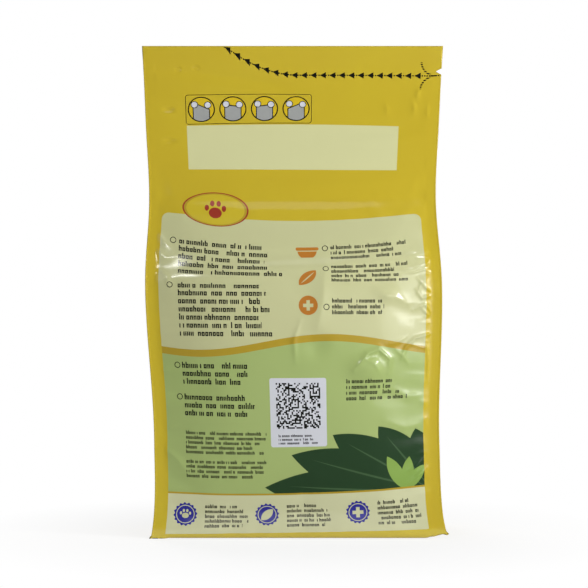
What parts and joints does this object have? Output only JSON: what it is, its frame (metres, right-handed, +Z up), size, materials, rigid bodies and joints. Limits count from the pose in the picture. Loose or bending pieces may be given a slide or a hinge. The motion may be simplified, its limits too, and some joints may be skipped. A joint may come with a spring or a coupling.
{
  "type": "pet food bag",
  "caption": "Upright sealed film bag of dry pet food: flat base, bulged face panels, side gussets, corner fin seals and a flat sealed header with a tear notch.",
  "frame": {"origin": "middle of the flat base, on the surface the bag stands on", "axes": "+Z up the bag, +X to the right along its width, and the printed back panel looks along -Y"},
  "size_m": [0.2, 0.1112, 0.322],
  "materials": {
    "printed_film": "glossy printed laminate film, yellow with cream and green fields"
  },
  "bodies": {
    "root": {"bag": "printed_film"}
  },
  "joints": []
}
